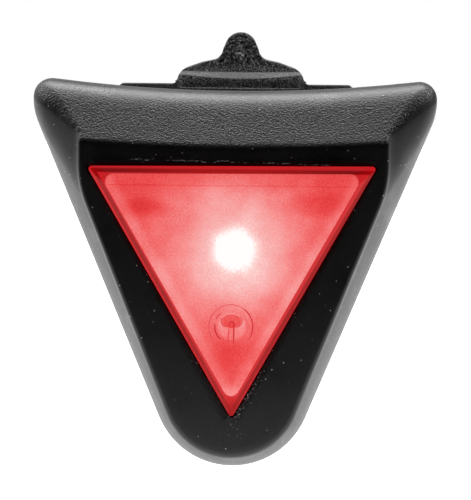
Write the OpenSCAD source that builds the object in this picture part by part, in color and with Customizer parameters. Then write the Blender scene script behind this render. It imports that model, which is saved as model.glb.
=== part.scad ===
// Clip-on LED safety light: a soft wedge-shaped housing with a red press-to-switch lens,
// a coin cell behind a screw cap, a snap stud and a flexible hook tongue.
// X runs across the light, the lens faces -Y, Z is up. The origin is the snap stud's foot.

/* [Battery] */
// Diameter of the coin cell
cell_d = 20; // [16:0.5:25]
// Thickness of the coin cell
cell_h = 3.2; // [1.6:0.1:5]
// Room for the contact spring between board and cell
contact_gap = 0.8; // [0.6:0.1:2]
// Room for the seal ring between cell and rear cover
seal_gap = 0.6; // [0.5:0.1:1.5]
// How far the screw cap reaches past the cell's edge
cap_lip = 0.9; // [0.8:0.1:2]
// Thickness of the seal ring
seal_t = 0.56; // [0.4:0.02:0.9]
// Wall of the coin cell's can
can_wall = 0.25; // [0.2:0.05:0.4]

/* [Lens] */
// Distance from the lens's centre to each of its three sides
lens_r = 9.27; // [7.5:0.1:12]
// Radius of the lens's three outer corners
lens_corner_r = 0.33; // [0.2:0.05:1]
// How far the lens stands out of the front face
lens_proud = 1.4; // [1:0.1:3]
// Thickness of the lens's front wall
lens_wall = 1.5; // [1:0.1:1.9]
// Width of the bevel round the lens's front
lens_bevel = 0.9; // [0.5:0.1:1.2]
// Thickness of the lens's overhanging rim
lens_rim_t = 2.0; // [1.9:0.1:2.2]
// How far the rim overhangs the skirt behind it
lens_overhang = 0.9; // [0.7:0.1:1.5]
// Wall of the lens's skirt
skirt_wall = 1.0; // [0.8:0.1:1.4]
// Height of the touch mark below the lens's centre
mark_drop = 8.0; // [7:0.1:9]
// Radius of the touch mark's ring
mark_r = 2.4; // [1.8:0.05:2.6]
// Travel of the touch mark when pressed
press_travel = 0.35; // [0.2:0.05:0.4]

/* [Housing] */
// Thickness of the rubber over the sides of the frame
rubber_wall = 1.7; // [1.2:0.1:2.5]
// Thickness of the rubber in front of the frame
front_wall = 1.4; // [1.2:0.1:2]
// Radius of the rounded bottom
nose_r = 8.7; // [7:0.1:10]
// Height of the ear tops above the cap's opening
top_zone = 8.1; // [7:0.1:10]
// Dip of the top edge at the middle
top_dip = 1.2; // [0.6:0.1:2]
// Radius of the ears' tips
ear_r = 1.9; // [1:0.1:2.2]
// Radius of the bend below each ear
ear_bend_r = 7.5; // [4:0.5:9]
// Height from the bend's middle to the ear top
ear_drop = 3.5; // [3.2:0.1:5]
// Rubber above the lens on the front face
face_margin = 2.1; // [1.5:0.1:3]
// Rubber beside the lens's corners on the front face
face_side = 0.9; // [0.8:0.1:2]
// Rubber below the lens's sharp tip, down to the body's bottom
nose_margin = 5.19; // [4:0.1:7]
// Height of the front face's bottom above the body's bottom
face_step = 1.4; // [1:0.1:2]
// Dip of the front face's top edge at the middle
face_dip = 0.6; // [0.3:0.1:1]
// Depth of the roof's straight slope
roof_depth = 4.0; // [3:0.1:4.4]
// Least width from the front face to the ear's side
least_flare = 2.0; // [1.5:0.1:3]

/* [Frame] */
// Thickness of the frame's front ring
ring_t = 1.1; // [0.8:0.1:1.5]
// Depth of the pocket for the lens's skirt
pocket_d = 2.7; // [2.6:0.1:4]
// Wall of the frame round the board
frame_wall = 0.9; // [0.7:0.1:1.1]
// Wall of the frame round the front pocket
pocket_wall = 0.8; // [0.6:0.1:1.2]
// Least rear-cover width beside the cap's opening
rim_wall = 1.62; // [1.5:0.02:3]

/* [Board] */
// Thickness of the circuit board
board_t = 1.0; // [0.6:0.1:1.2]
// Side of the switch body
switch_w = 4.5; // [4:0.1:5]
// Height of the switch body
switch_h = 1.8; // [1.6:0.1:2]
// Radius of the switch plunger
plunger_r = 1.2; // [0.8:0.1:1.4]
// Length of the plunger outside the switch body
plunger_out = 0.8; // [0.6:0.1:0.9]
// Width of the LED's base
led_w = 3.5; // [3:0.1:4]
// Radius of the LED's dome
led_dome_r = 1.2; // [0.8:0.1:1.4]

/* [Rear] */
// Thickness of the rear cover
cover_t = 1.8; // [1.5:0.1:2.5]
// Diameter of the snap stud
stud_d = 5.0; // [4:0.1:6]
// Straight length of the snap stud
stud_length = 3.4; // [2.5:0.1:5]
// Length of the snap stud's tapered tip
stud_tip = 0.6; // [0.4:0.1:1]
// Width of the slot that splits the stud
stud_slot = 0.8; // [0.5:0.1:1]
// Radius of a screw's shank
screw_r = 1.0; // [0.8:0.1:1.2]
// Radius of a screw's head
screw_head_r = 1.7; // [1.4:0.1:1.8]
// Thickness of a screw's head
screw_head_t = 0.95; // [0.8:0.05:1]
// Length of a screw below its head
screw_length = 5.0; // [4:0.5:5]
// Frame material left outside the lowest screw
boss_wall = 1.5; // [1.2:0.1:2.5]

/* [Hook plate] */
// Width of the hook plate
plate_w = 26.4; // [24:0.1:30]
// How far the plate stands above the dip of the top edge
plate_rise = 1.0; // [0.5:0.1:1.5]
// Distance of each plate screw from the middle
plate_screw_x = 10.8; // [9:0.1:11]
// Sideways place of the tongue
tongue_shift = 0.5; // [-1:0.1:1]
// Half width of the tongue at its shoulder
shoulder_half = 6.75; // [6:0.05:8]
// Radius of the tongue's rounded tip
nub_r = 1.75; // [1.2:0.05:2.2]
// Height of the tongue's tip above the plate
tongue_h = 5.44; // [5:0.02:7]
// Height of the shoulder's top above the plate
shoulder_h = 2.75; // [2.5:0.05:3]
// Thickness of the tongue
tongue_t = 1.6; // [1.2:0.1:2]
// How far the shoulder bead stands forward of the plate
bead_out = 0.8; // [0.4:0.1:1]

/* [Fits] */
// Gap between the lens and the rubber round it
lens_gap = 0.12; // [0.12:0.01:0.2]
// Gap between pieces that move past each other
run_gap = 0.15; // [0.15:0.01:0.3]
// Gap between the cap's thread and its opening
thread_gap = 0.1; // [0.06:0.01:0.1]
// Gap between pieces that are laid in place
lay_gap = 0.05; // [0.02:0.01:0.1]

/* [Hidden] */
$fn = 72;
eps = 0.01;

// Heights above the body's lowest point, from the bottom up
screw_z = rubber_wall + boss_wall + screw_r;
stud_z = screw_z + screw_head_r + 0.6 + stud_d / 2;
cap_r = cell_d / 2 + cap_lip;
bore_r = cap_r + thread_gap;
bay_z = stud_z + stud_d / 2 + 0.7 + bore_r;
lens_z = max(bay_z + lens_corner_r, 2 * lens_r + nose_margin);
mark_z = lens_z - mark_drop;
face_top = lens_z + lens_r + face_margin;
ear_top = max(bay_z + bore_r + top_zone, face_top + top_dip + least_flare);
top_mid = ear_top - top_dip;

// Places from the rear face forward
cover_y = -cover_t;
cell_back_y = cover_y - seal_gap;
cell_front_y = cell_back_y - cell_h;
board_back_y = cell_front_y - contact_gap;
board_front_y = board_back_y - board_t;
ring_back_y = board_front_y - pocket_d;
frame_front_y = ring_back_y - ring_t;
face_y = frame_front_y - front_wall;
lens_front_y = face_y - lens_proud;
rim_back_y = lens_front_y + lens_rim_t;
lens_inside_y = lens_front_y + lens_wall;
body_d = -face_y;

// The sides' slope follows the circle that the cap's opening needs round it
side_r = bore_r + rim_wall + rubber_wall;
side_a = asin((side_r - nose_r) / (bay_z - nose_r));
bend_z = ear_top - ear_drop;
face_half = sqrt(3) * lens_r + face_side;
ear_half = max((bend_z - nose_r) * tan(side_a) + nose_r / cos(side_a), face_half + least_flare);
face_nose_r = nose_r - 1.3;
face_bend_z = face_top - 4.2;
face_bend_r = 12;
face_ear_r = 0.5;

// The lens and its seat
skirt_r = lens_r - lens_overhang;
flange_r = skirt_r + 0.6;
flange_t = 0.6;
flange_y = ring_back_y + run_gap;
frame_nose_r = flange_r + run_gap + lay_gap;
frame_corner_r = 2.0;

// The frame's rear part, the room in it and the plate across its top
wedge_top = top_mid - 2.4;
room_top = bay_z + bore_r + 0.9;
plate_lap_z = room_top + 1.3;
plate_screw_z = (room_top + wedge_top) / 2;
plate_top = top_mid + plate_rise;
room_bottom = screw_z + screw_r + 1.4;

// The switch
plunger_tip_y = board_front_y - switch_h - plunger_out;
switch_cavity_y = board_front_y - 0.3;
dome_h = press_travel + run_gap;
plunger_back_y = switch_cavity_y - dome_h - 0.12;

// The front view's outlines ---------------------------------------------------------------

function mix(a, b, t) = a + (b - a) * t;
function arc(c, r, from, to, n) =
    [for (i = [0:n]) c + r * [cos(mix(from, to, i / n)), sin(mix(from, to, i / n))]];
function mirrored(half) =
    concat(half, [for (i = [len(half) - 2:-1:1]) [-half[i][0], half[i][1]]]);

// A triangle with round corners: sides at an angle from upright, a round bottom, two top corners
module rounded_wedge(tip_z, angle, bottom_z, top_z, corner_r) {
    low_r = (bottom_z - tip_z) / (1 / sin(angle) - 1);
    low = [0, bottom_z + low_r];
    high_z = top_z - corner_r;
    high = [(high_z - tip_z) * tan(angle) - corner_r / cos(angle), high_z];
    out = [cos(angle), -sin(angle)];
    half = [low + low_r * out, high + corner_r * out, high + [0, corner_r]];
    polygon(concat(half, [for (i = [2:-1:0]) [-half[i][0], half[i][1]]]));
    translate(low) circle(low_r);
    for (side = [-1, 1]) translate([side * high[0], high[1]]) circle(corner_r);
}

// The lens's triangle, at a distance r from its centre
module lens_triangle(r, corner_r)
    rounded_wedge(lens_z - 2 * r, 30, lens_z - 2 * r + corner_r, lens_z + r, corner_r);

// The frame's outline, inset from the housing's sides
module body_wedge(inset, bottom_z, top_z, corner_r)
    rounded_wedge(nose_r - (nose_r - inset) / sin(side_a), side_a, bottom_z, top_z, corner_r);

// Draws a front-view outline from one depth to another
module slab(front, back)
    translate([0, back, 0]) rotate([90, 0, 0]) linear_extrude(back - front) children();

// A round bar that runs front to back
module bar(x, z, r, front, back)
    translate([x, back, z]) rotate([90, 0, 0]) cylinder(r = r, h = back - front);

// A block given by its middle in the front view
module chip(x, z, w, h, front, back)
    translate([x - w / 2, front, z - h / 2]) cube([w, back - front, h]);

// A round piece drawn by its profile of radius against depth, about a front-to-back axis
module turned(z) translate([0, 0, z]) rotate([90, 0, 0]) rotate_extrude() children();

// Puts a piece from heights above the body's bottom onto the stud's axis
module on_stud() translate([0, 0, -stud_z]) children();

// The housing's skin -----------------------------------------------------------------------

// Shares of the way from the front face's outline to the rear outline at a depth d
function slope(d, start, straight, share) =
    let (t = (d - start) / straight, tail = 2 * (1 - share) / share,
         s = min(max((t - 1) / tail, 0), 1))
    share * min(max(t, 0), 1) + (1 - share) * (1 - (1 - s) * (1 - s));
function swell(d, length) = let (t = 1 - min(d / length, 1)) 1 - t * t;

// Half of the outline at depth d, from the bottom to the top's middle
function half_ring(d) =
    let (roof = slope(d, 0, roof_depth, 0.72),
         ear = slope(d, 1.0, roof_depth * 0.9, 0.7),
         side = swell(d, 9),
         low_r = mix(face_nose_r, nose_r, side),
         low = [0, mix(face_step, 0, side) + low_r],
         half = mix(face_half, ear_half, ear),
         bend = mix(face_bend_z, bend_z, ear),
         reach = [half, bend - low[1]],
         a = atan(reach[0] / reach[1]) - asin(low_r / norm(reach)),
         tip_r = mix(face_ear_r, ear_r, ear),
         dip_r = mix(pow(face_half, 2) / face_dip, pow(ear_half - ear_r, 2) / top_dip, roof) / 2,
         mid = [0, mix(face_top, top_mid, roof) + dip_r],
         b = asin((half - tip_r) / (dip_r + tip_r)),
         tip = [half - tip_r, mid[1] - (dip_r + tip_r) * cos(b)],
         bend_r = min(mix(face_bend_r, ear_bend_r, ear), (tip[1] - bend) / tan(a / 2)))
    concat(arc(low, low_r, -90, -a, 8),
           arc([half - bend_r, bend + bend_r * tan(a / 2)], bend_r, -a, 0, 4),
           arc(tip, tip_r, 5, 90 + b, 7),
           arc(mid, dip_r, b - 90 - b / 6, -90, 5));

module housing_skin() {
    rings = 14;
    outlines = [for (i = [0:rings]) mirrored(half_ring(body_d * i / rings))];
    n = len(outlines[0]);
    points = [for (i = [0:rings], p = outlines[i]) [p[0], face_y + body_d * i / rings, p[1]]];
    walls = [for (i = [0:rings - 1], j = [0:n - 1])
             let (a = i * n + j, b = i * n + (j + 1) % n) each [[a, b, b + n], [a, b + n, a + n]]];
    polyhedron(points, concat([[for (j = [n - 1:-1:0]) j]], walls,
                              [[for (j = [0:n - 1]) rings * n + j]]));
}

// Pieces ---------------------------------------------------------------------------------------

module front_ring_outline() lens_triangle(frame_nose_r + pocket_wall, frame_corner_r + pocket_wall);
module rear_outline() body_wedge(rubber_wall, rubber_wall, wedge_top, frame_corner_r);
module room_outline(gap)
    body_wedge(rubber_wall + frame_wall + gap, room_bottom + gap, room_top - gap, frame_corner_r);

module rubber_housing() color("#1a1a1b") difference() {
    housing_skin();
    slab(face_y - eps, frame_front_y + eps) lens_triangle(lens_r + lens_gap, lens_corner_r + lens_gap);
    slab(frame_front_y, board_front_y + eps) front_ring_outline();
    slab(board_front_y, eps) rear_outline();
    chip(0, wedge_top + plate_rise + top_dip, plate_w + 2 * lay_gap, 8, cover_y, eps);
}

module front_frame() color("#262628") difference() {
    union() {
        slab(frame_front_y, board_front_y) front_ring_outline();
        slab(board_front_y, cover_y) rear_outline();
    }
    slab(frame_front_y - eps, ring_back_y + eps) lens_triangle(skirt_r + run_gap, 1);
    slab(ring_back_y, board_front_y + eps) lens_triangle(frame_nose_r, frame_corner_r);
    slab(board_front_y, cover_y + eps) room_outline(0);
    for (side = [-1, 1])
        bar(side * plate_screw_x, plate_screw_z, screw_r, cover_y - screw_length, cover_y + eps);
    bar(0, screw_z, screw_r, cover_y - screw_length, cover_y + eps);
}

module lens() color("#d62a30") {
    difference() {
        union() {
            slab(lens_front_y, rim_back_y) lens_triangle(lens_r, lens_corner_r);
            slab(rim_back_y - eps, flange_y + flange_t) lens_triangle(skirt_r, 0.85);
            slab(flange_y, flange_y + flange_t) lens_triangle(flange_r, frame_corner_r);
        }
        for (turn = [0, 120, 240]) translate([0, lens_front_y, lens_z]) rotate([0, turn, 0]) lens_bevel_cut();
        slab(lens_inside_y, flange_y + flange_t + eps) lens_triangle(skirt_r - skirt_wall, 0.6);
        touch_mark();
    }
    bar(0, mark_z, 0.9, lens_inside_y - eps, plunger_tip_y - lay_gap);
}

// What the bevel takes off the lens's top side
module lens_bevel_cut() translate([-2 * lens_r, 0, 0]) rotate([90, 0, 90]) linear_extrude(4 * lens_r)
    polygon([[-1, lens_r - lens_bevel - 1], [lens_bevel + 1, lens_r + 1], [-1, lens_r + 1]]);

// A ring with an open foot and a bar, pressed lightly into the lens
module touch_mark() slab(lens_front_y - eps, lens_front_y + 0.1) translate([0, mark_z]) {
    line = 0.12;
    difference() {
        circle(mark_r);
        circle(mark_r - line);
        translate([0, -mark_r]) square([mark_r * 1.2, mark_r * 1.3], center = true);
    }
    for (side = [-1, 1]) translate([side * line * 1.3, -mark_r / 2])
        square([line, mark_r * 1.4], center = true);
}

module lens_gasket() color("#3c3c3e") slab(rim_back_y + lay_gap, frame_front_y - lay_gap) difference() {
    lens_triangle(lens_r - 0.1, 0.6);
    lens_triangle(skirt_r + run_gap, 1);
}

module reflector() color("#f2f2f0") difference() {
    slab(lens_inside_y + 1.1, board_front_y) lens_triangle(skirt_r - skirt_wall - 2 * run_gap, 0.5);
    well_r = led_w * 0.75;
    turned(lens_z) polygon([[0, -board_front_y - eps], [well_r, -board_front_y - eps],
                            [well_r, -board_front_y + 0.5], [4.6, -lens_inside_y], [0, -lens_inside_y]]);
    chip(0, mark_z - lens_r, 2 * lens_r, 2 * lens_r + switch_w + 1, lens_inside_y, board_front_y + eps);
}

module circuit_board() color("#1d6b3c") slab(board_front_y, board_back_y) room_outline(lay_gap);

module led_base() color("#f4f1e6") chip(0, lens_z, led_w, led_w * 0.8, board_front_y - 0.8, board_front_y);

module led_dome() color("#fff3d8") difference() {
    translate([0, board_front_y - 0.8, lens_z]) sphere(led_dome_r);
    chip(0, lens_z, 4 * led_dome_r, 4 * led_dome_r, board_front_y - 0.8, board_front_y + led_dome_r);
}

module controller_chip() color("#222224")
    chip(-5.2, bay_z + 4, 3, 3, board_back_y, board_back_y + contact_gap * 0.75);

module chip_resistors() color("#3a3a3d") for (i = [0:2])
    chip(5, bay_z + 2 + 1.6 * i, 1.6, 0.8, board_back_y, board_back_y + contact_gap / 2);

module capacitor() color("#b8905a")
    chip(5.2, bay_z - 3, 2, 1.25, board_back_y, board_back_y + contact_gap * 0.75);

module switch_body() color("#4a4a4e") difference() {
    chip(0, mark_z, switch_w, switch_w, board_front_y - switch_h, board_front_y);
    bar(0, mark_z, plunger_r + 0.05, board_front_y - switch_h - eps, switch_cavity_y);
    bar(0, mark_z, switch_w * 0.4, switch_cavity_y - dome_h - 0.1, switch_cavity_y);
}

// A shallow snap dome: a slice of a thin ball under the plunger
module switch_dome() color("#c9ccd0") {
    sheet = 0.1;
    rim = switch_w * 0.36;
    rise = dome_h - sheet - lay_gap;
    ball = (pow(rim, 2) + pow(rise, 2)) / (2 * rise);
    middle = [0, -switch_cavity_y + lay_gap + rise - ball];
    rim_a = asin(rim / ball);
    turned(mark_z) polygon(concat(arc(middle, ball + sheet, 90, 90 - rim_a, 6),
                                  arc(middle, ball, 90 - rim_a, 90, 6)));
}

module switch_plunger() color("#e8e4da") bar(0, mark_z, plunger_r, plunger_tip_y, plunger_back_y);

module battery_tray() color("#2e2e31") difference() {
    slab(board_back_y, cover_y) room_outline(lay_gap);
    bar(0, bay_z, cell_d / 2 + 0.3, board_back_y - eps, cover_y + eps);
    bar(0, bay_z, bore_r, cell_back_y - lay_gap, cover_y + eps);
    chip(0, bay_z + cell_d / 2 + 0.3, 3.4, 1.2, board_back_y - eps, cell_back_y);
}

// The coin cell stands its positive can to the rear
module coin_cell_can() color("#c4c7ca") difference() {
    bar(0, bay_z, cell_d / 2, cell_front_y + 0.2, cell_back_y);
    bar(0, bay_z, cell_d / 2 - can_wall, cell_front_y, cell_back_y - can_wall);
}
module coin_cell_seal() color("#2a2a2a") difference() {
    bar(0, bay_z, cell_d / 2 - can_wall, cell_front_y + 0.1, cell_back_y - can_wall);
    bar(0, bay_z, cell_d / 2 - 0.9, cell_front_y, cell_back_y);
}
module coin_cell_cap() color("#b3b6ba")
    bar(0, bay_z, cell_d / 2 - 0.9, cell_front_y, cell_back_y - can_wall);

// A strip on the board whose bent leaf reaches to the cell
module negative_contact() color("#cfae62") translate([-2, 0, bay_z]) rotate([90, 0, 90]) linear_extrude(4)
    polygon([[board_back_y, -6], [board_back_y + 0.2, -6], [board_back_y + 0.2, -3.2],
             [cell_front_y - lay_gap, 2], [cell_front_y - lay_gap, 4], [cell_front_y - 0.25, 4],
             [cell_front_y - 0.25, 2], [board_back_y, -3]]);

module positive_contact() color("#cfae62")
    chip(0, bay_z + cell_d / 2 + 0.25, 2.8, 0.3, board_back_y, cell_back_y - 1);

// The rear cover ends in a thin lip that the hook plate laps over
module rear_cover() color("#232325") difference() {
    slab(cover_y, 0) intersection() {
        body_wedge(rubber_wall + lay_gap, rubber_wall + lay_gap, wedge_top, frame_corner_r);
        translate([-ear_half, 0]) square([2 * ear_half, plate_lap_z]);
    }
    chip(0, plate_lap_z, 2 * ear_half, 2 * (plate_lap_z - room_top + 0.4), -cover_t / 2, eps);
    bar(0, bay_z, bore_r, cover_y - eps, eps);
    bar(0, screw_z, screw_r, cover_y - eps, eps);
    bar(0, screw_z, screw_head_r + lay_gap, -screw_head_t - lay_gap, eps);
    bar(0, stud_z, stud_d * 0.3, cover_y - eps, eps);
    for (side = [-1, 1]) {
        bar(side * plate_screw_x, plate_screw_z, screw_r + lay_gap, cover_y - eps, eps);
        bar(side * plate_screw_x, plate_screw_z, screw_head_r + lay_gap, -screw_head_t - 2 * lay_gap, eps);
    }
}

// Half of the tongue's bell outline, from its base up to the tip's middle
function tongue_half() =
    let (shoulder_r = 16,
         shoulder = [0, plate_top + shoulder_h - shoulder_r],
         nub = [0, plate_top + tongue_h - nub_r],
         neck_r = 1.6,
         corner_r = 1.2,
         corner_x = shoulder_half - corner_r,
         corner_a = acos(corner_x / (shoulder_r - corner_r)),
         corner = shoulder + (shoulder_r - corner_r) * [cos(corner_a), sin(corner_a)],
         apart = nub[1] - shoulder[1],
         far = shoulder_r + neck_r,
         near = nub_r + neck_r,
         neck_h = (far * far - near * near + apart * apart) / (2 * apart),
         neck = shoulder + [sqrt(far * far - neck_h * neck_h), neck_h],
         low_a = atan2(neck_h, neck[0]),
         high_a = atan2(neck[1] - nub[1], neck[0]))
    concat([[0, plate_top - 1], [shoulder_half + 0.6, plate_top - 1], [shoulder_half + 0.6, plate_top]],
           arc(corner, corner_r, -20, corner_a, 5),
           arc(shoulder, shoulder_r, corner_a + 2, low_a - 1, 6),
           arc(neck, neck_r, low_a - 180, high_a - 180, 5),
           arc(nub, nub_r, high_a + 12, 90, 6));

module tongue_outline() translate([tongue_shift, 0]) polygon(mirrored(tongue_half()));

// The part of the rear outline above a height
module rear_top(from_z) intersection() {
    body_wedge(rubber_wall + lay_gap, rubber_wall + lay_gap, wedge_top, frame_corner_r);
    translate([-ear_half, from_z]) square([2 * ear_half, ear_top]);
}

module hook_plate() color("#1c1c1e") difference() {
    bevel = 0.7;
    half = plate_w / 2;
    union() {
        slab(cover_y, 0) rear_top(plate_lap_z + lay_gap);
        slab(lay_gap - cover_t / 2, 0) rear_top(room_top - 0.35);
        slab(cover_y, 0) polygon([
            [-half, wedge_top - 2], [half, wedge_top - 2], [half, plate_top - bevel],
            [half - bevel, plate_top], [bevel - half, plate_top], [-half, plate_top - bevel]]);
        slab(cover_y, cover_y + tongue_t) tongue_outline();
        slab(cover_y - bead_out, cover_y + eps) intersection() {
            tongue_outline();
            translate([-half, top_mid + 0.3]) square([plate_w, plate_rise + 1]);
        }
    }
    for (side = [-1, 1]) {
        bar(side * plate_screw_x, plate_screw_z, screw_r, cover_y - eps, eps);
        bar(side * plate_screw_x, plate_screw_z, screw_head_r + lay_gap, -screw_head_t - lay_gap, eps);
    }
}

module snap_stud() color("#2b2b2e") difference() {
    end = stud_length + stud_tip;
    union() {
        bar(0, stud_z, stud_d * 0.3, cover_y, eps);
        bar(0, stud_z, stud_d / 2, 0, stud_length);
        turned(stud_z) polygon([[0, -stud_length], [stud_d / 2, -stud_length],
                                [stud_d / 2 - stud_tip, -end], [0, -end]]);
    }
    chip(0, stud_z, stud_slot, stud_d + 1, 1, end + 1);
}

module battery_cap() color("#303034") difference() {
    union() {
        bar(0, bay_z, cap_r, cover_y + lay_gap, -lay_gap);
        bar(0, bay_z, cell_d / 2 - 0.1, cell_back_y + 2 * lay_gap, cover_y + 2 * lay_gap);
    }
    chip(0, bay_z, cell_d * 0.55, 1.6, -0.8, eps);
    for (i = [0:11]) translate([0, 0, bay_z]) rotate([0, 30 * i + 15, 0])
        bar(cap_r - 1.4, 0, 0.45, -0.4, eps);
}

module cap_seal_ring() color("#7a1f22") turned(bay_z)
    translate([bore_r - run_gap - seal_t / 2, -(cell_back_y + cover_y) / 2]) circle(seal_t / 2);

// One screw: a flat head with a crossed recess, a plain shank and a point
module screw(x, z) {
    difference() {
        bar(x, z, screw_head_r, -screw_head_t - lay_gap, -lay_gap);
        for (turn = [0, 90]) translate([x, 0, z]) rotate([0, turn, 0])
            chip(0, 0, 2.2, 0.45, -lay_gap - 0.55, eps);
    }
    bar(x, z, screw_r, cover_y - screw_length + 0.8, -screw_head_t);
}

module housing_screws() color("#8d9196") {
    for (side = [-1, 1]) screw(side * plate_screw_x, plate_screw_z);
    screw(0, screw_z);
}

on_stud() rubber_housing();
on_stud() front_frame();
on_stud() lens();
on_stud() lens_gasket();
on_stud() reflector();
on_stud() circuit_board();
on_stud() led_base();
on_stud() led_dome();
on_stud() controller_chip();
on_stud() chip_resistors();
on_stud() capacitor();
on_stud() switch_body();
on_stud() switch_dome();
on_stud() switch_plunger();
on_stud() battery_tray();
on_stud() coin_cell_can();
on_stud() coin_cell_seal();
on_stud() coin_cell_cap();
on_stud() negative_contact();
on_stud() positive_contact();
on_stud() rear_cover();
on_stud() hook_plate();
on_stud() snap_stud();
on_stud() battery_cap();
on_stud() cap_seal_ring();
on_stud() housing_screws();
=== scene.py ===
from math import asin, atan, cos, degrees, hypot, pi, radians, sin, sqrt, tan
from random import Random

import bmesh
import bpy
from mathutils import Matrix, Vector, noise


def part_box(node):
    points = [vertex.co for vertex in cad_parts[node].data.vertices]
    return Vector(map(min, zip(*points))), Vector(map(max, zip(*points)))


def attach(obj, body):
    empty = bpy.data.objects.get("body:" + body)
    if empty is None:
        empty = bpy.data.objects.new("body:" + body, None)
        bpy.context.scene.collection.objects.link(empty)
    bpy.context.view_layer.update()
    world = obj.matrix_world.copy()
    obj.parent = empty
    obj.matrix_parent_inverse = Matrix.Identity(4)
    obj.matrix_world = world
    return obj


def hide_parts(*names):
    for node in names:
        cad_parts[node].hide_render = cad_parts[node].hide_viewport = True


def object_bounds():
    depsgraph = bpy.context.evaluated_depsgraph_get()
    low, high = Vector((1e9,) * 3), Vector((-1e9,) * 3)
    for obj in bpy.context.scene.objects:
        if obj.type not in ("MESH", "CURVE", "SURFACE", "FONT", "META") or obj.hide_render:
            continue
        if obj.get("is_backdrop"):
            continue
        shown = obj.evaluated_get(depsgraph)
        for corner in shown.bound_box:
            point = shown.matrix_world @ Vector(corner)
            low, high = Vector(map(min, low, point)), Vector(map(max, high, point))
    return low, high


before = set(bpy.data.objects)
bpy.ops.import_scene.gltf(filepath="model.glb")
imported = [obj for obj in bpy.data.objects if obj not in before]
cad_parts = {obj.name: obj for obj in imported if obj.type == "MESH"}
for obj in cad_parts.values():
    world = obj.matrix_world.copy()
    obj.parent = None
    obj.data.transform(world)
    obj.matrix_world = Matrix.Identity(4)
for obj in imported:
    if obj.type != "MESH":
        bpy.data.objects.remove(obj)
cad_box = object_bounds()

# A clip-on LED safety light: a soft black rubber wedge with a red press-to-switch lens, a rear
# cover with a screw cap over a coin cell, a split snap stud and a flexible hook tongue.
# It faces -Y, Z is up, and the origin is the foot of the snap stud. Outlines, depths and sizes
# whose name ends in _mm are millimetres, heights among them counted from the housing's foot.
# Everything else is metres.

# Studio -------------------------------------------------------------------------------------
# A light table under the light, a white room behind and above it and a dark one in front, so
# that the black rubber shows its shape by what it mirrors. A long lens looks almost level.

MM = 0.001
metre_mm = 1000.0


def put(tree, kind, inputs=None, **settings):
    """Adds a node with these settings, and links or sets its inputs."""
    node = tree.nodes.new(kind)
    for name, value in settings.items():
        setattr(node, name, value)
    for key, value in (inputs or {}).items():
        if isinstance(value, bpy.types.NodeSocket):
            tree.links.new(value, node.inputs[key])
        else:
            node.inputs[key].default_value = value
    return node


def calc(tree, operation, *values, clamp=False):
    """One step of arithmetic between sockets and numbers."""
    node = put(tree, "ShaderNodeMath", dict(enumerate(values)), operation=operation, use_clamp=clamp)
    return node.outputs[0]


def between(tree, value, low, high, to_low=0.0, to_high=1.0):
    """Maps a value smoothly from one range to another, and holds it at the ends."""
    inputs = {0: value, 1: low, 2: high, 3: to_low, 4: to_high}
    return put(tree, "ShaderNodeMapRange", inputs, interpolation_type="SMOOTHSTEP").outputs[0]


def mixed(tree, share, a, b):
    """Mixes two colours."""
    node = put(tree, "ShaderNodeMix", {0: share, 6: a, 7: b}, data_type="RGBA")
    return node.outputs[2]


def grey(level):
    """A neutral colour of this strength."""
    return (level, level, level, 1.0)


middle = Vector((0.23 * MM, -7.0 * MM, 14.75 * MM))
camera_distance = 0.9
camera_side = radians(0.9)
camera_rise = radians(1.8)
camera_roll = radians(0.6)
view_height = 54.65 * MM

camera = bpy.data.objects.new("camera", bpy.data.cameras.new("camera"))
camera.data.sensor_width = 36
camera.data.lens = 36 * camera_distance / view_height
camera.data.clip_start = 0.01
camera.location = middle + camera_distance * Vector((
    sin(camera_side) * cos(camera_rise), -cos(camera_side) * cos(camera_rise), sin(camera_rise)))
look = (middle - camera.location).to_track_quat("-Z", "Y").to_matrix().to_4x4()
camera.rotation_euler = (look @ Matrix.Rotation(camera_roll, 4, "Z")).to_euler()
bpy.context.scene.collection.objects.link(camera)
bpy.context.scene.camera = camera
bpy.context.scene.view_settings.view_transform = "Standard"

world = bpy.data.worlds.new("studio")
bpy.context.scene.world = world
world.use_nodes = True
sky = world.node_tree
sky.nodes.clear()
ways = put(sky, "ShaderNodeSeparateXYZ",
           {0: put(sky, "ShaderNodeTexCoord").outputs["Generated"]}).outputs
# The wall behind is brighter to the left, and the ceiling fades in straight above
wall_level = 0.58
ceiling_level = 0.36
behind = calc(sky, "MULTIPLY", between(sky, ways[1], -0.05, 0.5, 0.0, wall_level),
              between(sky, ways[0], -0.7, 0.7, 1.28, 0.32))
overhead = between(sky, ways[2], 0.66, 0.93, 0.0, ceiling_level)
# A long softbox hangs over the back, between 25 and 45 degrees behind upright
tilt = calc(sky, "DIVIDE", ways[1], calc(sky, "MAXIMUM", ways[2], 0.05))
strip = calc(sky, "MULTIPLY", between(sky, tilt, tan(radians(25)), tan(radians(30))),
             between(sky, tilt, tan(radians(45)), tan(radians(38)), 0.0, 1.0))
softbox_level = 8.0
strip = calc(sky, "MULTIPLY", strip, between(sky, ways[2], 0.3, 0.5, 0.0, softbox_level))
light = calc(sky, "ADD", calc(sky, "MAXIMUM", behind, overhead), strip)
room = put(sky, "ShaderNodeBackground", {"Strength": light})
room.inputs["Color"].default_value = grey(1.0)
backdrop = put(sky, "ShaderNodeBackground", {"Color": grey(1.0), "Strength": 1.0})
seen = put(sky, "ShaderNodeLightPath").outputs["Is Camera Ray"]
shown = put(sky, "ShaderNodeMixShader", {0: seen, 1: room.outputs[0], 2: backdrop.outputs[0]})
put(sky, "ShaderNodeOutputWorld", {"Surface": shown.outputs[0]})

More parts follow.
